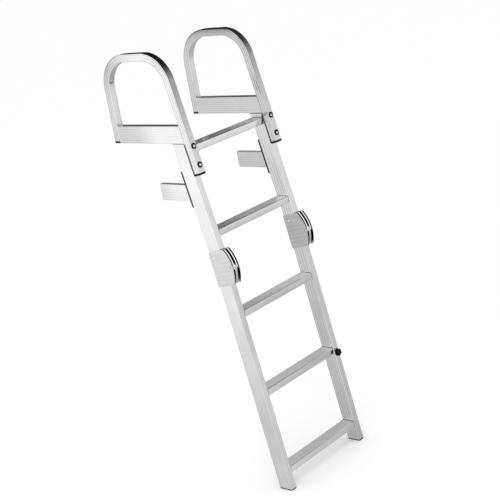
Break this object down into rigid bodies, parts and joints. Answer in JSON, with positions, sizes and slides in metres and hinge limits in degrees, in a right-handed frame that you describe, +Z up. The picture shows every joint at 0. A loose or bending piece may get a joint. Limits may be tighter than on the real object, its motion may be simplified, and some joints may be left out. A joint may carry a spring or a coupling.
{
  "type": "folding_boat_ladder",
  "caption": "Folding boat boarding ladder: ribbed aluminium stiles, level ribbed treads, handrail hoops on deck bars, hull standoffs, and a lower section that folds up on side hinges",
  "frame": {"origin": "on the underside of the left deck bar, level with the faces of the standoff pads", "axes": "+X across the ladder from the left stile to the right one, +Y towards the boat, +Z up"},
  "size_m": [0.4148, 0.5031, 1.463],
  "materials": {
    "anodised_aluminium": "satin",
    "polished_steel": "polished",
    "black_plastic": "satin",
    "white_nylon": "satin",
    "black_rubber": "matte",
    "tread_aluminium": "satin"
  },
  "bodies": {
    "upper_section": {"left_upper_stile": "anodised_aluminium", "left_stile_cap": "black_plastic", "left_deck_bar": "anodised_aluminium", "left_handrail_hoop": "anodised_aluminium", "left_front_leg_cap": "black_plastic", "left_rear_leg_cap": "black_plastic", "left_standoff_plate": "black_plastic", "left_standoff": "anodised_aluminium", "left_standoff_pad": "black_plastic", "left_outer_cheek": "anodised_aluminium", "left_inner_cheek": "anodised_aluminium", "right_upper_stile": "anodised_aluminium", "right_stile_cap": "black_plastic", "right_deck_bar": "anodised_aluminium", "right_handrail_hoop": "anodised_aluminium", "right_front_leg_cap": "black_plastic", "right_rear_leg_cap": "black_plastic", "right_standoff_plate": "black_plastic", "right_standoff": "anodised_aluminium", "right_standoff_pad": "black_plastic", "right_outer_cheek": "anodised_aluminium", "right_inner_cheek": "anodised_aluminium", "tread_1": "tread_aluminium", "tread_2": "tread_aluminium", "leg_bolts": "polished_steel", "hinge_ears": "white_nylon", "hinge_blocks": "black_plastic", "hinge_pins": "polished_steel", "hinge_rivets": "polished_steel"},
    "lower_section": {"left_lower_stile": "anodised_aluminium", "left_foot": "black_rubber", "left_hinge_tongue": "anodised_aluminium", "right_lower_stile": "anodised_aluminium", "right_foot": "black_rubber", "right_hinge_tongue": "anodised_aluminium", "tread_3": "tread_aluminium", "tread_4": "tread_aluminium", "tread_5": "tread_aluminium", "right_rubber_knob": "black_rubber"}
  },
  "joints": [
    {"name": "fold", "type": "hinge", "parent": "upper_section", "child": "lower_section", "pos_m": [0.19, -0.24644, -0.40035], "axis": [-1, 0, 0], "range_deg": [0, 182.5]}
  ]
}
